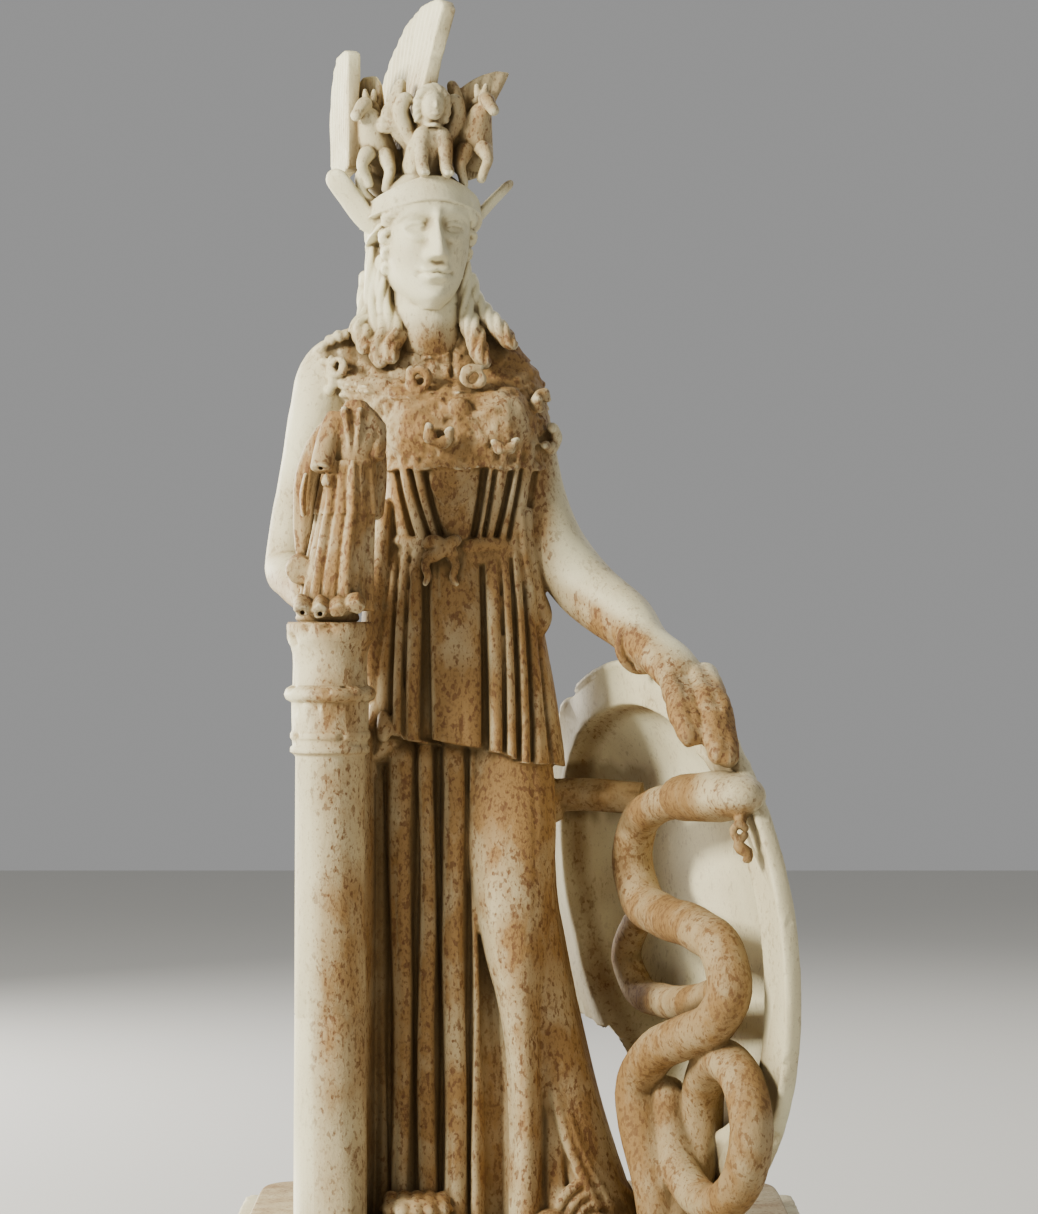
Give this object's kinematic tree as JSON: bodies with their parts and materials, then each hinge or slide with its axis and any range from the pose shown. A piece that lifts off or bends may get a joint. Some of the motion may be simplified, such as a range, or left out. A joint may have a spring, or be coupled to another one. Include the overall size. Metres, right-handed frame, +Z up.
{
  "type": "statue",
  "caption": "Marble statuette of a helmeted goddess with a column, a small winged figure, a round shield and a snake, on a moulded rectangular plinth.",
  "frame": {"origin": "middle of the plinth's underside", "axes": "+Z up, -Y is the front the figure faces, +X is towards the shield"},
  "size_m": [0.45, 0.44, 1.05],
  "materials": {
    "marble": "worn, satin, with ochre patina",
    "plinth_marble": "worn, matte"
  },
  "bodies": {
    "root": {"statue": "marble", "plinth": "plinth_marble"}
  },
  "joints": []
}
